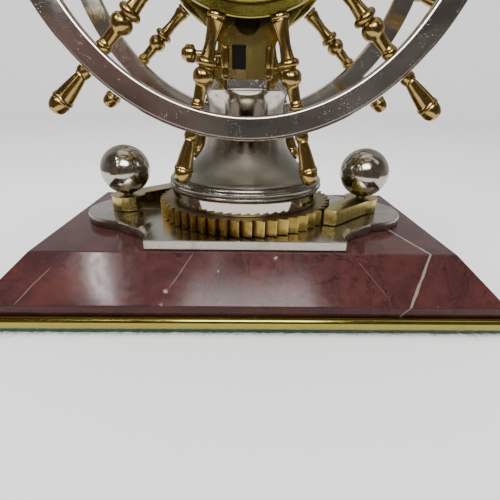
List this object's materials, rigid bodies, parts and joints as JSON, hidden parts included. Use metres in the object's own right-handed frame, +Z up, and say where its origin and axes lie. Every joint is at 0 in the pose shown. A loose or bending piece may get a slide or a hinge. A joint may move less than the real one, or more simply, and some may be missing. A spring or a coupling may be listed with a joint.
{
  "type": "skeleton clock",
  "caption": "Skeleton clock whose movement and dial sit between ship's wheels on a ratchet capstan, over a sloped marble base with ball-topped pawls.",
  "frame": {"origin": "centre of the felt's underside", "axes": "+Z up, -Y towards the dial's front, +X to the right seen from the front"},
  "size_m": [0.25, 0.1534, 0.3024],
  "materials": {
    "marble": "polished red marble with white veins",
    "felt": "green felt",
    "brass": "polished",
    "aged_brass": "polished, darkened with age",
    "nickel": "polished, lightly pitted",
    "satin_nickel": "satin",
    "steel": "polished",
    "blued_steel": "blued",
    "enamel": "white enamel"
  },
  "bodies": {
    "base": {"felt_pad": "felt", "marble_base": "marble", "brass_moulding": "brass", "deck_plate": "satin_nickel", "pivot_post": "steel", "pivot_nut": "steel", "ball_left": "steel", "ball_right": "steel"},
    "pawl_right": {"pawl_right": "brass"},
    "pawl_left": {"pawl_left": "brass"},
    "capstan": {"ratchet_wheel": "brass", "capstan_drum": "nickel", "capstan_column": "nickel", "neck_block": "nickel", "movement_seat": "brass", "front_rim": "nickel", "rear_rim": "nickel", "front_hub": "brass", "rear_hub": "brass", "front_spoke_01": "aged_brass", "front_spoke_02": "aged_brass", "front_spoke_03": "aged_brass", "front_spoke_04": "aged_brass", "front_spoke_05": "aged_brass", "front_spoke_06": "aged_brass", "front_spoke_07": "aged_brass", "front_spoke_08": "aged_brass", "front_spoke_09": "aged_brass", "front_spoke_10": "aged_brass", "front_spoke_11": "aged_brass", "front_spoke_12": "aged_brass", "rear_spoke_01": "aged_brass", "rear_spoke_02": "aged_brass", "rear_spoke_03": "aged_brass", "rear_spoke_04": "aged_brass", "rear_spoke_05": "aged_brass", "rear_spoke_06": "aged_brass", "rear_spoke_07": "aged_brass", "rear_spoke_08": "aged_brass", "rear_spoke_09": "aged_brass", "rear_spoke_10": "aged_brass", "rear_spoke_11": "aged_brass", "rear_spoke_12": "aged_brass", "front_plate": "brass", "rear_plate": "brass", "pillar_1": "brass", "pillar_2": "brass", "pillar_3": "brass", "chapter_ring": "enamel", "balance_cock": "brass"},
    "centre": {"centre_wheel": "brass", "minute_hand": "blued_steel"},
    "hour": {"hour_wheel": "brass", "hour_hand": "blued_steel"},
    "minute": {"minute_wheel": "brass"},
    "barrel": {"barrel": "brass"},
    "third": {"third_wheel": "brass"},
    "escape": {"escape_wheel": "brass"},
    "pallet": {"pallet_lever": "steel"},
    "balance": {"balance_wheel": "brass"}
  },
  "joints": [
    {"name": "capstan_turn", "type": "hinge", "parent": "base", "child": "capstan", "pos_m": [0, 0, 0.0375], "axis": [0, 0, 1], "continuous": true},
    {"name": "pawl_right_swing", "type": "hinge", "parent": "base", "child": "pawl_right", "pos_m": [0.07, 0, 0.0375], "axis": [0, 0, 1], "range_deg": [0, 22]},
    {"name": "pawl_left_swing", "type": "hinge", "parent": "base", "child": "pawl_left", "pos_m": [-0.07, 0, 0.0375], "axis": [0, 0, 1], "range_deg": [0, 22]},
    {"name": "centre_turn", "type": "hinge", "parent": "capstan", "child": "centre", "pos_m": [0, 0, 0.1817], "axis": [0, 1, 0], "continuous": true},
    {"name": "hour_turn", "type": "hinge", "parent": "capstan", "child": "hour", "pos_m": [0, 0, 0.1817], "axis": [0, 1, 0], "continuous": true},
    {"name": "minute_turn", "type": "hinge", "parent": "capstan", "child": "minute", "pos_m": [0, 0, 0.1985], "axis": [0, 1, 0], "continuous": true},
    {"name": "barrel_turn", "type": "hinge", "parent": "capstan", "child": "barrel", "pos_m": [0, 0, 0.1523], "axis": [0, 1, 0], "continuous": true},
    {"name": "third_turn", "type": "hinge", "parent": "capstan", "child": "third", "pos_m": [-0.0144, 0, 0.19886], "axis": [0, 1, 0], "continuous": true},
    {"name": "escape_turn", "type": "hinge", "parent": "capstan", "child": "escape", "pos_m": [0, 0, 0.20953], "axis": [0, 1, 0], "continuous": true},
    {"name": "pallet_rock", "type": "hinge", "parent": "capstan", "child": "pallet", "pos_m": [0.0123, 0, 0.2072], "axis": [0, 1, 0], "range_deg": [-4, 4]},
    {"name": "balance_swing", "type": "hinge", "parent": "capstan", "child": "balance", "pos_m": [0.025, 0, 0.2027], "axis": [0, 1, 0], "range_deg": [-135, 135]}
  ],
  "couplings": [
    {"joint": "hour_turn", "follows": "centre_turn", "ratio": 0.083333},
    {"joint": "minute_turn", "follows": "centre_turn", "ratio": -0.33333},
    {"joint": "barrel_turn", "follows": "centre_turn", "ratio": -0.16667},
    {"joint": "third_turn", "follows": "centre_turn", "ratio": -6},
    {"joint": "escape_turn", "follows": "centre_turn", "ratio": 36}
  ]
}
